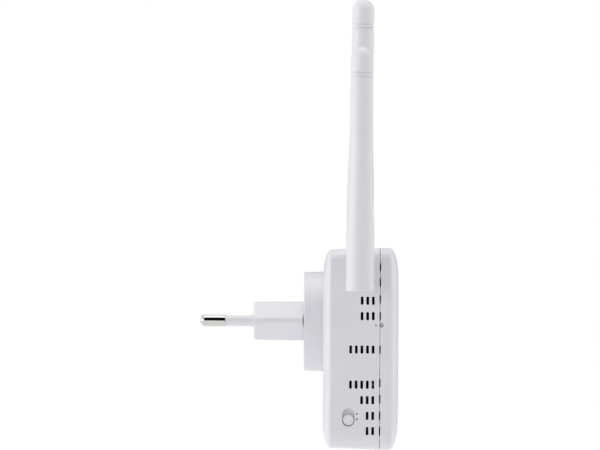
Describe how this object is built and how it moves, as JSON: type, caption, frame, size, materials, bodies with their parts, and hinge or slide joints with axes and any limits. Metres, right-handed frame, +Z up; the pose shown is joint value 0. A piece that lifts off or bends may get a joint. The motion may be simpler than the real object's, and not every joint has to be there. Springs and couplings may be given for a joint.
{
  "type": "wifi range extender",
  "caption": "Plug-in wireless range extender: slim white two-shell housing on a two-pin mains plug, with hinged side antennas, vents, a pairing button, a slide switch and a network socket.",
  "frame": {"origin": "centre of the plug block's pin-side face, on the line between the two pins", "axes": "+Y along the pins into the wall socket, +Z up along the antennas, front face looks along -Y, +X to the right seen from the front"},
  "size_m": [0.0784, 0.0702, 0.1631],
  "materials": {
    "housing_plastic": "satin moulded white ABS",
    "button_plastic": "smooth moulded white ABS",
    "plug_pin_metal": "polished nickel-plated brass",
    "brass": "bright stamped brass",
    "steel": "zinc-plated steel",
    "tin_plate": "tin-plated sheet steel",
    "black_plastic": "black moulded nylon and epoxy",
    "circuit_board": "green solder mask on glass-epoxy board",
    "blue_enamel": "dipped blue epoxy",
    "capacitor_sleeve": "shrunk PVC sleeve",
    "ferrite": "sintered dark grey ferrite",
    "winding_tape": "yellow polyester tape",
    "pad_rubber": "soft grey-blue thermal pad",
    "cable_jacket": "black coax jacket",
    "clear_plastic": "clear moulded acrylic",
    "led_resin": "milky LED resin"
  },
  "bodies": {
    "housing": {"rear_cover": "housing_plastic", "front_cover": "housing_plastic", "plug_block": "housing_plastic", "left_plug_pin": "plug_pin_metal", "right_plug_pin": "plug_pin_metal", "left_pin_sleeve": "housing_plastic", "right_pin_sleeve": "housing_plastic", "left_contact_blade": "brass", "right_contact_blade": "brass", "insulation_sheet": "black_plastic", "power_board": "circuit_board", "fuse_resistor": "blue_enamel", "bridge_rectifier": "black_plastic", "input_capacitor": "capacitor_sleeve", "supply_controller": "black_plastic", "transformer_core": "ferrite", "transformer_bobbin": "black_plastic", "transformer_winding": "winding_tape", "y_capacitor": "blue_enamel", "output_diode": "black_plastic", "output_capacitor": "capacitor_sleeve", "board_link": "brass", "main_board": "circuit_board", "wifi_chip": "black_plastic", "thermal_pad": "pad_rubber", "shield_can": "tin_plate", "memory_chip": "black_plastic", "clock_crystal": "steel", "lan_magnetics": "black_plastic", "lan_jack": "black_plastic", "lan_contacts": "brass", "indicator_leds": "led_resin", "light_guide": "clear_plastic", "pair_switch": "black_plastic", "reset_switch": "steel", "power_switch": "black_plastic", "left_antenna_lead": "cable_jacket", "right_antenna_lead": "cable_jacket", "lead_sockets": "brass", "cover_screws": "steel", "board_screws": "steel"},
    "left_antenna": {"left_antenna_sleeve": "housing_plastic", "left_antenna_radiator": "brass", "left_antenna_shaft": "steel", "left_shaft_washer": "steel", "left_shaft_nut": "brass"},
    "right_antenna": {"right_antenna_sleeve": "housing_plastic", "right_antenna_radiator": "brass", "right_antenna_shaft": "steel", "right_shaft_washer": "steel", "right_shaft_nut": "brass"},
    "pair_button": {"pair_button": "button_plastic", "pair_switch_stem": "black_plastic"},
    "reset_stem": {"reset_stem": "button_plastic"},
    "power_knob": {"power_knob": "button_plastic"}
  },
  "joints": [
    {"name": "left_antenna_swing", "type": "hinge", "parent": "housing", "child": "left_antenna", "pos_m": [-0.03435, -0.0374, 0.0152], "axis": [1, 0, 0], "range_deg": [-90, 90]},
    {"name": "right_antenna_swing", "type": "hinge", "parent": "housing", "child": "right_antenna", "pos_m": [0.03435, -0.0374, 0.0152], "axis": [1, 0, 0], "range_deg": [-90, 90]},
    {"name": "pair_button_press", "type": "slide", "parent": "housing", "child": "pair_button", "axis": [0, 1, 0], "range_m": [0, 0.0004], "stiffness_N_per_m": 1500, "springref_m": -0.0002},
    {"name": "reset_stem_press", "type": "slide", "parent": "housing", "child": "reset_stem", "axis": [1, 0, 0], "range_m": [0, 0.00025], "stiffness_N_per_m": 1500, "springref_m": -0.0002},
    {"name": "power_knob_slide", "type": "slide", "parent": "housing", "child": "power_knob", "axis": [0, 0, 1], "range_m": [0, 0.0018]}
  ]
}
